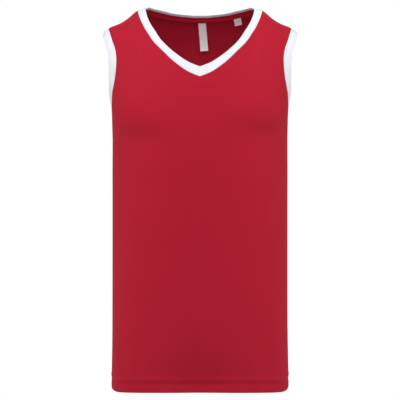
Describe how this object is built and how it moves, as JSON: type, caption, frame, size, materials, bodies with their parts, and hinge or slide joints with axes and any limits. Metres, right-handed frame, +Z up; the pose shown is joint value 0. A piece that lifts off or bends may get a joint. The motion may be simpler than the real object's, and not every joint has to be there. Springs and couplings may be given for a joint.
{
  "type": "basketball jersey",
  "caption": "Sleeveless V-neck basketball jersey in hollow worn form, with contrast bands at neck and armholes and a turned-up hem.",
  "frame": {"origin": "midway between the two shoulders, on the centre line, at the middle height of the shoulder seams, where the wearer's shoulders carry the jersey", "axes": "+Z up, -Y the front, +X the wearer's left"},
  "size_m": [0.3852, 0.2456, 0.7542],
  "materials": {
    "red_knit": "fine smooth polyester knit with a soft low sheen, deep red",
    "white_knit": "fine white polyester rib, matt",
    "label_satin": "bare off-white woven satin label"
  },
  "bodies": {
    "root": {"front_panel": "red_knit", "back_panel": "red_knit", "neck_band": "white_knit", "armhole_band_left": "white_knit", "armhole_band_right": "white_knit", "neck_tape": "red_knit", "main_label": "label_satin", "size_label": "label_satin"}
  },
  "joints": []
}
